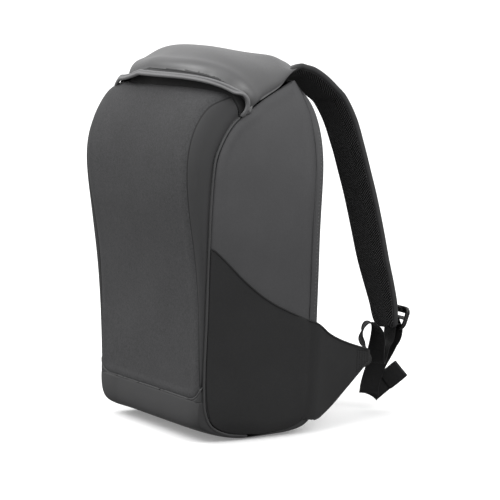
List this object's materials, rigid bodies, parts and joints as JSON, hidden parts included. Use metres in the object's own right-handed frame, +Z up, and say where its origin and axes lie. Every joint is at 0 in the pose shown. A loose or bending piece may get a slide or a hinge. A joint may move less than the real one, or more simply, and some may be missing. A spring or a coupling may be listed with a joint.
{
  "type": "anti theft backpack",
  "caption": "Slim dark grey anti-theft backpack, standing, with a smooth overhanging hood, stretch side pockets and padded shoulder straps.",
  "frame": {"origin": "middle of the flat underside", "axes": "+Z up, +Y towards the wearer's back and the shoulder straps, +X to the right of the back panel as worn"},
  "size_m": [0.2912, 0.3606, 0.4563],
  "materials": {
    "heather": "fine heather weave",
    "satin": "smooth satin cloth",
    "side_cloth": "smooth cloth",
    "base_cloth": "smooth cloth",
    "stretch": "matte stretch knit",
    "mesh": "padded spacer mesh",
    "webbing": "woven webbing",
    "piping": "piped cloth edge",
    "plastic": "glossy"
  },
  "bodies": {
    "root": {"base": "base_cloth", "front_panel": "heather", "back_panel": "mesh", "hood": "satin", "hood_lip": "piping", "side_panel_right": "side_cloth", "seam_piping_right": "piping", "side_pocket_right": "stretch", "shoulder_strap_right": "mesh", "strap_tab_right": "webbing", "ladder_lock_right": "plastic", "lower_webbing_right": "webbing", "side_panel_left": "side_cloth", "seam_piping_left": "piping", "side_pocket_left": "stretch", "shoulder_strap_left": "mesh", "strap_tab_left": "webbing", "ladder_lock_left": "plastic", "lower_webbing_left": "webbing"}
  },
  "joints": []
}
